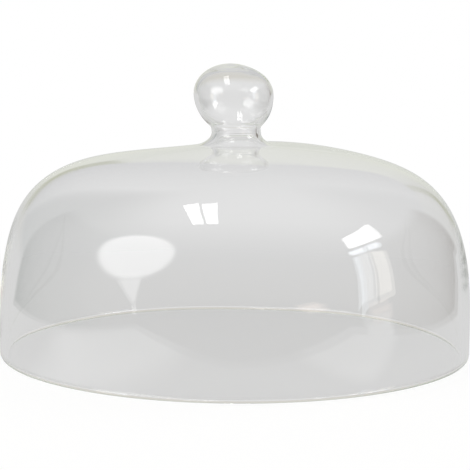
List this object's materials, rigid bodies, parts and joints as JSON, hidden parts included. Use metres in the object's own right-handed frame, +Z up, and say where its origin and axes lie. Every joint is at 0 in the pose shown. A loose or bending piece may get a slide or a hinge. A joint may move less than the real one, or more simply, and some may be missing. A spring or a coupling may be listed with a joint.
{
  "type": "glass cloche",
  "caption": "Wide, low dome cover of clear blown glass with a hollow ball knob on a short neck, open at the bottom, for standing over plants or food.",
  "frame": {"origin": "middle of the rim's resting plane, under the knob", "axes": "+Z up along the dome's axis, towards the knob; +X and +Y lie in the resting plane"},
  "size_m": [0.3, 0.3, 0.1855],
  "materials": {
    "dome_glass": "clear, polished in the flame",
    "knob_glass": "clear, polished in the flame"
  },
  "bodies": {
    "root": {"dome_shell": "dome_glass", "ball_knob": "knob_glass"}
  },
  "joints": []
}
